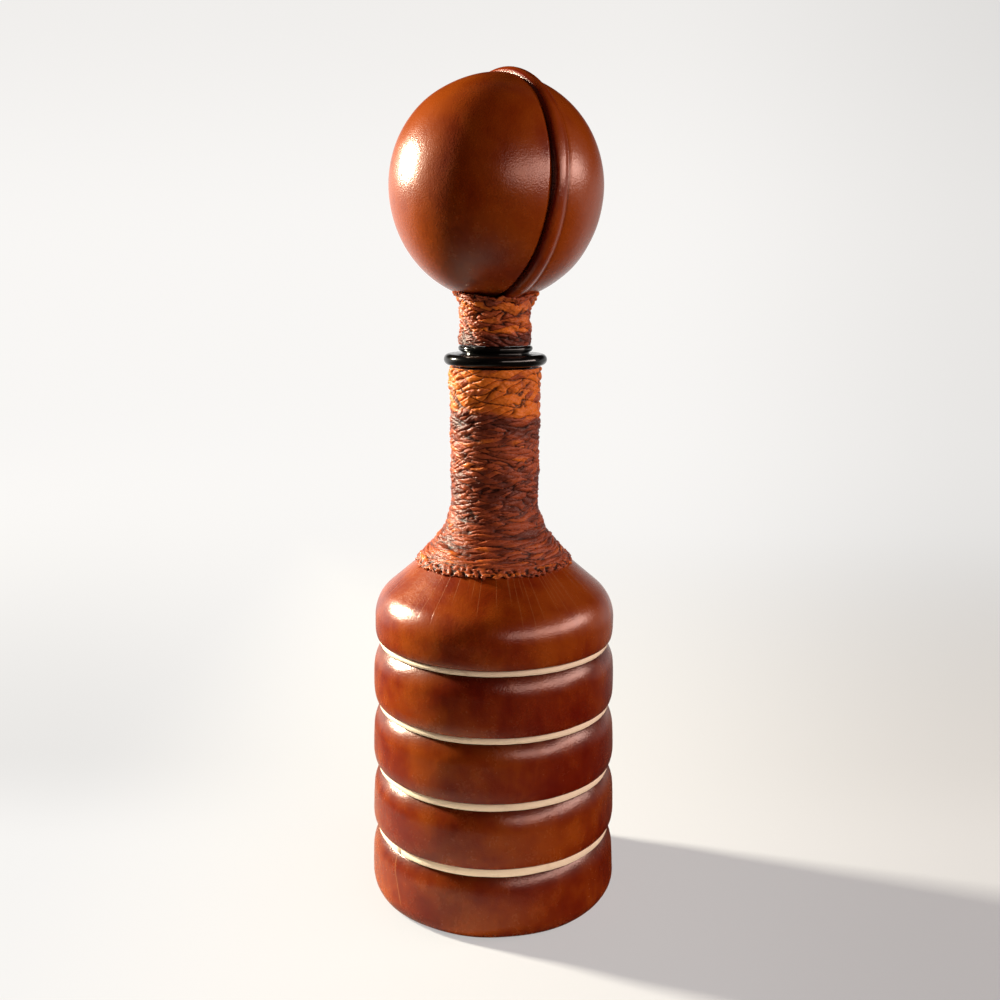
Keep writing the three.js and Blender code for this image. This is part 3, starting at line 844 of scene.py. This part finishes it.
class DECANTER_OT_neck_wrap(bpy.types.Operator):
    """The crinkled leather round the neck"""

    bl_idname = "decanter.neck_wrap"
    bl_label = "Neck wrap"

    columns = 330
    rows = 280
    lump_depth = 0.5 * MM
    teeth = 0.4 * MM
    foot_waver = 0.5 * MM
    lining_lift = 2 * MM
    # Height and depth of a fold, in mm, at shares of the way up the wrap
    fold_shares = (0, 0.3, 0.74, 0.8, 1)
    fold_heights = (2.2, 2.4, 2.9, 4.4, 4.4)
    fold_depths = (1.1, 1.1, 1.2, 1.6, 1.6)
    # How light the windings are, from 0 for umber to 1 for amber, at heights in mm
    dye_heights = (138, 144, 152, 158, 168, 174, 180, 190, 194, 198, 202, 220)
    dye_shades = (0.52, 0.52, 0.36, 0.42, 0.28, 0.22, 0.55, 0.5, 0.25, 0.15, 0.9, 0.95)
    dye_waver = 1.2 * MM
    dye_tilt = 1.7 * MM

    def dye(self, height, angle):
        """How light each winding is: amber at the top, then dark, russet, dark, and russet at the skirt."""
        waver = wander(angle, height, 95, 5, 40 * MM) * self.dye_waver
        wavy = height + waver + self.dye_tilt * np.sin(angle)
        return np.interp(wavy, np.array(self.dye_heights) * MM, self.dye_shades)

    def execute(self, context):
        sizes = context.scene.decanter_sizes
        angle = ring(self.columns)
        top = reach("neck_wrap")[1]
        cover_top = reach("shoulder_cover")[1]
        slope = QUARTER - sizes.shoulder_pitch
        bed = (sizes.wrap_foot, cover_top - (sizes.wrap_foot - sizes.cover_mouth) / math.tan(slope))
        skirt = (bed[0] + math.cos(slope) * sizes.wrap_edge, bed[1] + math.sin(slope) * sizes.wrap_edge)
        sweep = sweep_into_neck(skirt, sizes.wrap_pitch, sizes.wrap_radius, sizes.wrap_flare, 24)
        outside = even(np.vstack(([bed, skirt], sweep, [(sizes.wrap_top, top)])), self.rows)
        share = np.linspace(0, 1, self.rows)
        spacing = np.interp(share, self.fold_shares, self.fold_heights) * MM
        depth = np.interp(share, self.fold_shares, self.fold_depths)[:, None] * MM
        # The profile is turned about Z and pushed along its normal by folds. Its foot is lumpy and ragged
        push, ridge, tone = crinkle(outside, angle, 5, spacing, depth)
        height = outside[:, 1:]
        row = np.arange(self.rows)[:, None] / self.rows
        settle = 0.2 + 0.8 * ease(row, 0.01, 0.09)
        rim = 1 - ease(row, 0.02, 0.08)
        lump = wander(angle, height, 12, 90, 2.2 * MM, count=50, least=25)
        push = push * settle + rim * lump * self.lump_depth
        # At the foot the ridge field follows the lumps, so the gaps between them get painted shade
        ridge = ridge * (1 - rim) + rim * ease(lump, -0.5, 0.4)
        ragged = wander(angle, 0, 8, 110, count=50, least=45) * self.teeth
        ragged = ragged + wander(angle, 0, 9, 16) * self.foot_waver
        frayed = ragged * (1 - ease(row, 0.015, 0.06))
        points = around_axis(outside, angle, push, -frayed * math.cos(slope))
        spread = 1 + frayed * math.sin(slope) / outside[:, :1]
        points[..., :2] *= spread[..., None]
        inside = np.array([(sizes.neck_outside, top), (sizes.neck_outside, cover_top + self.lining_lift)])
        inner = around_axis(inside, angle)
        fields = with_lining({"ridge": ridge, "tone": tone, "dye": self.dye(height, angle)})
        piece = skin("neck_wrap_leather", np.vstack((points, inner)), True, fields)
        dress(piece, crinkled_leather(), "bottle", "neck_wrap")
        return {"FINISHED"}


class DECANTER_OT_shank_wrap(bpy.types.Operator):
    """The crinkled leather round the stopper's shank"""

    bl_idname = "decanter.shank_wrap"
    bl_label = "Shank wrap"

    columns = 264
    rows = 90
    fold_height = 3.6 * MM
    fold_depth = 1.7 * MM
    waist_ease = 0.2 * MM
    lining_gap = 0.3 * MM
    lining_rise = 0.4 * MM
    notch_width = 0.2

    def execute(self, context):
        sizes = context.scene.decanter_sizes
        angle = ring(self.columns)
        low, high, flared = reach("shank_wrap")
        radius = flared - sizes.shank_flare + self.waist_ease
        start = high - sizes.shank_flare_height
        flare = arc((flared, start), (flared - radius, sizes.shank_flare_height), math.pi, QUARTER, 14)
        outside = even(np.vstack(([(radius, low)], flare)), self.rows)
        # The profile is turned about Z, pushed along its normal by the folds and lifted to a wavy brim
        spacing = np.full(self.rows, self.fold_height)
        push, ridge, tone = crinkle(outside, angle, 21, spacing, self.fold_depth)
        # Umber at the foot, then amber and russet
        heights = np.broadcast_to(outside[:, 1:], push.shape)
        stops = [low, low + 3.5 * MM, low + 6 * MM, high]
        dye = np.interp(heights, stops, [0.05, 0.12, 0.7, 0.62])
        points = around_axis(outside, angle, push)
        from_seam = from_bearing(angle, sizes.seam_azimuth)
        notch = np.exp(-((from_seam / self.notch_width) ** 2))
        # The brim's height in mm: a rise to the sides, a notch at the welt and small teeth
        teeth = wander(angle, 0, 24, 70, count=50) * 0.7
        brim = 0.3 - 1.1 * np.cos(2 * angle) - 1.3 * notch + teeth
        points[..., 2] += ease(outside[:, 1:], low, high) ** 2 * brim * MM
        lining = reach("shank_core")[2] + self.lining_gap
        inner = around_axis(np.array([(lining, high + self.lining_rise), (lining, low)]), angle)
        fields = with_lining({"ridge": ridge, "tone": tone, "dye": dye})
        piece = skin("shank_wrap_leather", np.vstack((points, inner)), True, fields)
        dress(piece, crinkled_leather(), "stopper", "shank_wrap")
        return {"FINISHED"}


def seam_axes(sizes):
    """Unit vectors of the ball's seam: along it to the front, along it upwards, across it to the right."""
    turned, lean = sizes.seam_azimuth, sizes.seam_lean
    ahead = np.array((math.sin(turned), -math.cos(turned), 0))
    level = np.array((math.cos(turned), math.sin(turned), 0))
    up = np.array((0, 0, 1))
    across = level * math.cos(lean) - up * math.sin(lean)
    return ahead, up * math.cos(lean) + level * math.sin(lean), across


def ball_frame(sizes):
    """The ball's centre height, and its half width in X and in Y and its half height."""
    _, top, half_core = reach("ball_core")
    half_width, half_height = sizes.ball_width / 2, sizes.ball_height / 2
    core_height = half_height - (half_width - half_core)
    return top - core_height, np.array((half_width, half_width, half_height))


class DECANTER_OT_ball(bpy.types.Operator):
    """The two leather halves of the ball"""

    bl_idname = "decanter.ball"
    bl_label = "Ball covers"

    columns = 288
    rows = 110
    first_fall = 0.012
    edge_gap = 1 * MM
    unevenness = 0.16 * MM
    sink = 2 * MM
    # How far short of the lip's outer end the painted shade stops, in mm
    shade_inset = 0.4
    # Each half's lip along the seam: how far off it starts and ends and how deep it is, in mm
    lips = {-1: (3.2, 5.3, 1.7), 1: (3.4, 5.0, 0.5)}

    def execute(self, context):
        sizes = context.scene.decanter_sizes
        centre, axes = ball_frame(sizes)
        half_width = axes[0]
        ahead, up, across = seam_axes(sizes)
        angle = ring(self.columns)
        around = np.cos(angle)[:, None] * ahead + np.sin(angle)[:, None] * up
        # A half is the unit vectors at a fall from its pole and an angle round it, stretched to the ball's
        # axes, drawn in at its lip and flattened at the top
        for side, name in ((-1, "ball_cover_left"), (1, "ball_cover_right")):
            edge = math.acos((self.edge_gap + side * sizes.seam_offset) / half_width)
            fall = np.linspace(self.first_fall, edge, self.rows)
            from_seam = (edge - fall) * half_width + self.edge_gap
            near, far, deep = self.lips[side]
            # The left lip closes up over the top of the ball
            open_share = 1 - 0.9 * ease(np.sin(angle), 0.45, 0.8) if side < 0 else np.ones(self.columns)
            lip = (1 - ease(from_seam, near * MM, far * MM))[:, None] * open_share
            turned = np.concatenate((fall, fall[::-10]))
            thin = np.full((len(turned) - self.rows, self.columns), sizes.leather)
            scale = 1 - np.vstack((lip * deep * MM, thin)) / half_width
            sphere = np.sin(turned)[:, None, None] * around + side * np.cos(turned)[:, None, None] * across
            # The unevenness runs aslant over the half
            slant = sphere[..., 2] * 0.05 + sphere[..., 0] * 0.03
            uneven = wander(angle, slant, 40 + side, 4)
            uneven = uneven * np.sin(turned)[:, None] * self.unevenness / half_width
            uneven[self.rows :] = 0
            points = sphere * axes * (scale + uneven)[..., None]
            points[..., 2] -= ease(sphere[..., 2], 0.3, 1.0) * sizes.ball_flat
            points[..., 2] = np.maximum(points[..., 2] + centre, reach("shank_wrap")[1] - self.sink)
            # Painted shade in the groove along the seam, left out where the left lip closes at the top
            seam_shade = 1 - ease(from_seam, near * MM, (far - self.shade_inset) * MM)
            painted_shade = np.vstack((seam_shade[:, None] * open_share, 0 * thin))
            # Painted light: the leather is painted lighter on the ball's left and right, where the lamps
            # light it, and less so at its front and back
            bearing = np.arctan2(sphere[..., 0], -sphere[..., 1])
            painted_light = 0.3 + 0.65 * ease(np.abs(np.sin(bearing)), 0.36, 0.66)
            fields = {"painted_shade": painted_shade, "hide": 57.0 + 9 * side, "painted_light": painted_light}
            piece = skin(f"{name}_leather", points, False, fields)
            dress(piece, smooth_leather(), "stopper", name)
        return {"FINISHED"}


class DECANTER_OT_welt(bpy.types.Operator):
    """The raised welt over the ball's seam"""

    bl_idname = "decanter.welt"
    bl_label = "Welt"

    steps = 260
    end_inset = 4.2 * MM
    waver = 0.12 * MM
    pinch_share = 0.2
    pinch_turn = 0.2

    def section(self):
        """The welt across the seam, as shares of its reach and of its height.

        A steep wall on the left, a climb to the crown, and a fall, slow at first, to a bead on the right.
        """
        rise = np.linspace(0, 1, 12)
        wall = np.stack((-1 + 0.1 * rise**3, -0.85 + 1.4 * rise), 1)
        fall = np.linspace(0, 1, 26)[1:]
        peak = 0.3
        climb = 0.4 * (1 - np.minimum(fall / peak, 1)) ** 2
        drop = 0.77 * np.maximum((fall - peak) / (1 - peak), 0) ** 2.2
        crown = np.stack((-0.9 + 1.9 * fall, 0.95 - climb - drop), 1)
        crown[:, 1] += 0.16 * np.exp(-(((fall - 0.95) / 0.03) ** 2))
        under = [(1, -0.35), (0.2, -0.95), (-0.2, -0.95)]
        return np.vstack((wall, crown, under))

    def execute(self, context):
        sizes = context.scene.decanter_sizes
        centre, axes = ball_frame(sizes)
        half_width = axes[0]
        ahead, up, across = seam_axes(sizes)
        end = -math.acos((reach("shank_wrap")[2] - self.end_inset) / half_width)
        angle = np.linspace(end, math.pi - end, self.steps)[:, None]
        aside = sizes.seam_offset / half_width
        sphere = math.sqrt(1 - aside**2) * (np.cos(angle) * ahead + np.sin(angle) * up) + aside * across
        normal = sphere / axes
        normal /= np.linalg.norm(normal, axis=1)[:, None]
        share, rise = self.section().T
        # The section is carried along a circle of the ball, raised along the normal and moved aside
        wave = wander(angle, angle * 0.01, 77, 9)
        # The welt is narrower at the front of the ball
        pinch = 1 - self.pinch_share * np.exp(-((angle / self.pinch_turn) ** 2))
        width = np.where(share < 0, sizes.welt_left, sizes.welt_right) * pinch
        sideways = share * width + wave * self.waver
        sunk = ease(sphere[:, 2:], 0.3, 1.0) * sizes.ball_flat
        proud = sizes.welt_height - sunk * np.minimum(-rise, 0.3) * 0.8
        lift = rise * proud * (1 + 0.06 * wave) - sideways**2 / (2 * half_width)
        points = (sphere * axes)[:, None, :] + lift[..., None] * normal[:, None, :]
        points = points + sideways[..., None] * across
        points[..., 2] += centre - sunk
        # Painted shade on the welt's left wall, fading out near the top of the ball where light reaches it
        painted_shade = ease(-rise, -0.75, 0.3) * (share < 0) * (1 - 0.95 * ease(sphere[:, 2:], 0.45, 0.8))
        # Painted light on the welt's crown and right side
        painted_light = 0.75 * ease(share, -0.9, -0.6) + 0 * angle
        fields = {"hide": 83.0, "painted_shade": painted_shade, "painted_light": painted_light}
        piece = skin("ball_welt_leather", points, False, fields)
        dress(piece, smooth_leather(), "stopper", "ball_welt")
        return {"FINISHED"}


class DECANTER_OT_collar(bpy.types.Operator):
    """The black collar under the shank"""

    bl_idname = "decanter.collar"
    bl_label = "Collar"

    columns = 192
    flange_share = 0.58
    waist_radius = 13.4 * MM
    lip_radius = 15.0 * MM
    lip_round = 1.15 * MM
    lip_start = -1.1
    waist_turn = 0.5 * MM
    dowel_gap = 0.3 * MM

    def execute(self, context):
        low, high, flange = reach("stopper_collar")
        angle = ring(self.columns)
        rim = (high - low) * self.flange_share / 2
        hole = reach("stopper_dowel")[2] + self.dowel_gap
        edge = arc((flange - rim, low + rim), rim, -QUARTER, QUARTER, 24)
        foot = low + 2 * rim
        lip_centre = (self.lip_radius - self.lip_round, high - self.lip_round)
        lip = arc(lip_centre, self.lip_round, self.lip_start, QUARTER, 18)
        waist = [(self.waist_radius + self.waist_turn, foot), (self.waist_radius, foot + self.waist_turn)]
        # A closed profile of the flange, the waist and the bead, turned about Z
        profile = np.vstack(([(hole, low)], edge, waist, lip, [(hole, high)]))
        piece = skin("stopper_collar_gloss", around_axis(profile, angle), True)
        dress(piece, black_gloss(), "stopper", "stopper_collar")
        return {"FINISHED"}


class DECANTER_OT_cork(bpy.types.Operator):
    """The cork in the neck"""

    bl_idname = "decanter.cork"
    bl_label = "Cork"

    columns = 128
    taper = 1 * MM
    foot_round = 1 * MM
    pit_depth = 0.05 * MM

    def execute(self, context):
        low, high, radius = reach("stopper_cork")
        angle = ring(self.columns)
        foot_centre = (radius - self.taper - self.foot_round, low + self.foot_round)
        foot = arc(foot_centre, self.foot_round, -QUARTER, 0, 8)
        side = even([foot[-1], (radius, high)], 40)[1:]
        # A tapered profile turned about Z and pushed in along its normal by pits
        profile = np.vstack(([(POLE, low)], foot, side, [(POLE, high)]))
        pitted = np.minimum(wander(angle, profile[:, 1:], 91, 24, 5 * MM), 0.6) * self.pit_depth
        piece = skin("stopper_cork_body", around_axis(profile, angle, pitted - self.pit_depth), False)
        dress(piece, natural_cork(), "stopper", "stopper_cork")
        return {"FINISHED"}


class DECANTER_OT_glass(bpy.types.Operator):
    """The glass bottle inside the leather"""

    bl_idname = "decanter.glass"
    bl_label = "Glass bottle"

    columns = 160
    wall = 3 * MM
    base = 6 * MM
    neck = 15 * MM
    bore = 11 * MM
    corner = 6 * MM
    neck_fillet = 10 * MM
    least_turn = 1.2 * MM
    rim = 2 * MM

    def shell(self, sizes, wall, neck, fillet, turn_radius, start):
        """The shoulder of the bottle from the top of its wall to the foot of its neck."""
        slope = QUARTER - sizes.shoulder_pitch
        turned = arc((wall - turn_radius, start), turn_radius, 0, slope, 12)
        return np.vstack((turned, sweep_into_neck(turned[-1], sizes.shoulder_pitch, neck, fillet, 16)))

    def execute(self, context):
        sizes = context.scene.decanter_sizes
        low, high, radius = reach("glass_bottle")
        start = shoulder_start(sizes)
        angle = ring(self.columns)
        outer_turn = sizes.shoulder_round - (reach("shoulder_cover")[2] - radius)
        inner_turn = max(self.least_turn, outer_turn - self.wall)
        inner_corner = self.corner - self.wall / 2
        floor = low + self.base
        inner = radius - self.wall
        foot = arc((radius - self.corner, low + self.corner), self.corner, -QUARTER, 0, 12)
        outside = self.shell(sizes, radius, self.neck, self.neck_fillet, outer_turn, start)
        lip = arc(((self.neck + self.bore) / 2, high - self.rim), self.rim, 0, math.pi, 18)
        inside = self.shell(sizes, inner, self.bore, self.neck_fillet + self.wall, inner_turn, start)
        hollow = arc((inner - inner_corner, floor + inner_corner), inner_corner, 0, -QUARTER, 12)
        # The profile goes up the outside, over the lip and down the inside, and is turned about Z
        under, within = [(POLE, low)], [(POLE, floor)]
        profile = np.vstack((under, foot, outside, lip, inside[::-1], hollow, within))
        piece = skin("glass_bottle_shell", around_axis(profile, angle), False)
        dress(piece, clear_glass(), "bottle", "glass_bottle")
        return {"FINISHED"}


class DECANTER_OT_inner_parts(bpy.types.Operator):
    """Finishes for the CAD pieces that stay: the felt, the wood and the sole"""

    bl_idname = "decanter.inner_parts"
    bl_label = "Inner parts"

    def execute(self, context):
        finishes = {
            "padding": pressed_felt(),
            "dowel": turned_wood(),
            "core": turned_wood(),
            "base_pad": sole_leather(),
        }
        for name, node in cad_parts.items():
            for word, material in finishes.items():
                if word in name:
                    node.data.materials.clear()
                    node.data.materials.append(material)
        return {"FINISHED"}


class DECANTER_OT_stage(bpy.types.Operator):
    """The floor, the backdrop, the lamps and the camera"""

    bl_idname = "decanter.stage"
    bl_label = "Studio"

    camera_place = (2.0 * MM, -457.3 * MM, 254.1 * MM)
    camera_pitch = 82.355
    camera_roll = 0.32
    camera_lens = 40.853
    camera_shift = -0.07
    aim = (0, 0, 0.17)
    # Name, azimuth, elevation, distance, width and height, power and tint of each lamp
    panels = (
        ("key_panel", -109.5, 20.5, 1.24, (0.11, 0.27), 58, (1, 0.93, 0.73)),
        ("front_panel", 29, 18, 1.2, (0.56, 0.3), 2.5, (1, 0.8, 0.72)),
        ("right_panel", 56, 18, 1.2, (0.56, 0.3), 4.0, (1, 0.8, 0.72)),
        ("side_panel", 86, 18, 1.2, (0.64, 0.3), 6.0, (1, 0.8, 0.72)),
    )
    # The floor's reach to each side and to the front, where it bends up, and the backdrop's top
    floor_reach = 6.0
    bend_start = 2.2
    bend_radius = 1.2
    backdrop_top = 6.0
    paper_white = (1, 0.982, 0.962)
    # The paper's shading fans out from a line in front of the decanter
    fan_start = -0.457

    def panel(self, name, azimuth, elevation, distance, size, power, tint):
        """An area lamp that faces the decanter from an azimuth, counted from the front towards the right."""
        lamp = bpy.data.lights.new(name, "AREA")
        lamp.shape = "RECTANGLE"
        lamp.size, lamp.size_y = size
        lamp.energy = power
        lamp.color = tint
        holder = bpy.data.objects.new(name, lamp)
        a, e = math.radians(azimuth), math.radians(elevation)
        away = Vector((math.sin(a) * math.cos(e), -math.cos(a) * math.cos(e), math.sin(e)))
        holder.location = Vector(self.aim) + away * distance
        holder.rotation_mode = "QUATERNION"
        holder.rotation_quaternion = away.to_track_quat("Z", "Y")
        bpy.context.scene.collection.objects.link(holder)

    def sweep(self, colours):
        """A pale floor that curves up into a backdrop far behind the decanter: a path carried along X."""
        bend = arc((self.bend_start, self.bend_radius), self.bend_radius, -QUARTER, 0, 24)
        front, top = (-self.floor_reach, 0), (self.bend_start + self.bend_radius, self.backdrop_top)
        path = np.vstack(([front], bend, [top]))
        across, back = np.meshgrid((-self.floor_reach, self.floor_reach), path[:, 0])
        height = np.broadcast_to(path[:, 1:], back.shape)
        points = np.stack((across, back, height), -1)
        number = np.arange(len(path) * 2).reshape(-1, 2)
        quads = np.stack((number[:-1, 0], number[:-1, 1], number[1:, 1], number[1:, 0]), -1)
        mesh = bpy.data.meshes.new("studio_sweep")
        mesh.from_pydata(points.reshape(-1, 3).tolist(), [], quads.tolist())
        mesh.shade_smooth()
        floor = bpy.data.objects.new("studio_sweep", mesh)
        bpy.context.scene.collection.objects.link(floor)
        floor.data.materials.append(self.paper(colours))

    def paper(self, colours):
        """The floor's paper: lit by the lamps on the right, where the shadow falls, and plain elsewhere.

        The camera, and gloss and glass far off, see paper with a pale glow of its own. Other rays find paper
        that is dim apart from the part near the decanter, which throws light back at it.
        """
        material, graph = finish("studio_paper")
        x, y, z = graph.axes(graph.place())
        nearest = 0.12
        ahead = graph.math("MAXIMUM", y - self.fan_start, nearest)
        aside = x / ahead
        facing = graph.step(y, -0.4, -0.2)
        # Painted shade: the paper's colour is darker to the right, a painted fall-off of the lamps' light
        edge = graph.step(aside, 0.12, 0.55) * facing * 0.08
        away = graph.math("SQRT", x * x + y * y)
        near = graph.step(away, 0.3, 0.1)
        # Plain paper lies behind, in front and on the left
        beyond = graph.math("MAXIMUM", graph.step(y, 0.05, 0.7), graph.step(y, -0.2, -0.4))
        plain = graph.math("MAXIMUM", beyond, graph.step(x, 0.03, -0.22))
        tint = graph.blend(1 - (1 - edge) * (1 - plain * 0.95), colours.floor, (0, 0, 0))
        matt = graph.node("ShaderNodeBsdfDiffuse", None, {"Color": tint})
        # Light thrown back by the paper near the decanter, most of it hidden from gloss
        gloss = graph.node("ShaderNodeLightPath", output="Is Glossy Ray")
        left = graph.step(x, 0.08, -0.08)
        hidden = 0.97 - left * graph.step(away, 0.25, 0.1) * 0.3
        lit_share = near * (0.6 + left * 0.4) * (1 - gloss * hidden)
        bounce = graph.blend(lit_share, (0.01, 0.01, 0.01), (0.85, 0.85, 0.85))
        dim = graph.node("ShaderNodeBsdfDiffuse", None, {"Color": bounce})
        # The glow falls off to the right and upwards, and dips just behind the decanter
        right = graph.step(aside, 0.08, 0.5) * facing
        wide = graph.step(graph.math("ABSOLUTE", aside), 0.1, 0.42)
        closeness = 1 / ahead
        dip = (0.035 + wide * 0.095) * graph.step(closeness, 0.55, 1.75)
        dip = dip * graph.step(closeness, 2.1, 1.7)
        level = (0.403 + plain * 0.492 + graph.step(closeness, 1.5, 0.4) * 0.05) * (1 - dip)
        level = level * (1 - right * 0.16) * (1 - graph.step(z, 0.3, 1.3) * 0.08)
        glow_colour = graph.blend(level, (0, 0, 0), self.paper_white)
        glow = graph.node("ShaderNodeEmission", None, {"Color": glow_colour})
        lit = graph.node("ShaderNodeAddShader", None, {0: matt, 1: glow})
        mirrored = graph.step(y, 0.02, 0.7) * graph.step(z, 1.6, 0.5) * (1 - graph.step(x, 0.0, 1.2) * 0.4)
        shown = self.plainly_seen(graph, mirrored)
        graph.end(graph.node("ShaderNodeMixShader", None, {0: shown, 1: dim, 2: lit}))
        return material

    def plainly_seen(self, graph, far):
        """1 for what the camera sees, and for what gloss and glass show of the background."""
        seen = graph.node("ShaderNodeLightPath", output="Is Camera Ray")
        gloss, glass = seen.other("Is Glossy Ray"), seen.other("Is Transmission Ray")
        return graph.math("MAXIMUM", seen, graph.math("MAXIMUM", gloss, glass) * far)

    def world(self):
        """A soft room: pale to the sides and behind, dim in front and above, and plain pale to the camera."""
        world = bpy.data.worlds.new("studio")
        world.use_nodes = True
        graph = Graph(world.node_tree)
        _, y, z = graph.axes(graph.node("ShaderNodeTexCoord", output="Generated"))
        behind = graph.step(y - z * 0.8, -0.6, 0.5)
        room = graph.blend(behind, (0.006, 0.006, 0.006), (0.16, 0.16, 0.156))
        seen = graph.node("ShaderNodeLightPath", output="Is Camera Ray")
        shown = graph.blend(seen, room, (0.9, 0.885, 0.87))
        graph.end(graph.node("ShaderNodeBackground", None, {"Color": shown}), "ShaderNodeOutputWorld")
        bpy.context.scene.world = world

    def camera(self):
        """The photograph's viewpoint, with the picture shifted so that uprights stay nearly upright."""
        data = bpy.data.cameras.new("camera")
        data.lens = self.camera_lens
        data.shift_y = self.camera_shift
        data.clip_start = 0.01
        holder = bpy.data.objects.new("camera", data)
        holder.location = self.camera_place
        holder.rotation_mode = "QUATERNION"
        tilt = Quaternion((1, 0, 0), math.radians(self.camera_pitch))
        holder.rotation_quaternion = tilt @ Quaternion((0, 0, 1), math.radians(self.camera_roll))
        bpy.context.scene.collection.objects.link(holder)
        bpy.context.scene.camera = holder

    def execute(self, context):
        self.sweep(context.scene.decanter_colours)
        for panel in self.panels:
            self.panel(*panel)
        self.world()
        self.camera()
        context.scene.view_settings.view_transform = "Standard"
        return {"FINISHED"}


PIECES = (
    DECANTER_OT_glass,
    DECANTER_OT_bands,
    DECANTER_OT_laces,
    DECANTER_OT_neck_wrap,
    DECANTER_OT_cork,
    DECANTER_OT_collar,
    DECANTER_OT_shank_wrap,
    DECANTER_OT_ball,
    DECANTER_OT_welt,
    DECANTER_OT_inner_parts,
    DECANTER_OT_stage,
)


class DECANTER_PT_panel(bpy.types.Panel):
    """Lists the decanter's pieces, sizes and colours"""

    bl_idname = "DECANTER_PT_panel"
    bl_label = "Decanter"
    bl_space_type = "VIEW_3D"
    bl_region_type = "UI"
    bl_category = "Decanter"

    def draw(self, context):
        for piece in PIECES:
            self.layout.operator(piece.bl_idname)
        for group in (context.scene.decanter_sizes, context.scene.decanter_colours):
            box = self.layout.box()
            for name in group.__annotations__:
                box.prop(group, name)


CLASSES = (DecanterSizes, DecanterColours, *PIECES, DECANTER_PT_panel)


def register():
    for cls in CLASSES:
        bpy.utils.register_class(cls)
    bpy.types.Scene.decanter_sizes = PointerProperty(type=DecanterSizes)
    bpy.types.Scene.decanter_colours = PointerProperty(type=DecanterColours)


def unregister():
    del bpy.types.Scene.decanter_colours
    del bpy.types.Scene.decanter_sizes
    for cls in reversed(CLASSES):
        bpy.utils.unregister_class(cls)


def main():
    """Registers the add-on and makes every piece in order."""
    register()
    for piece in PIECES:
        group, name = piece.bl_idname.split(".")
        getattr(getattr(bpy.ops, group), name)()


if __name__ == "__main__":
    main()
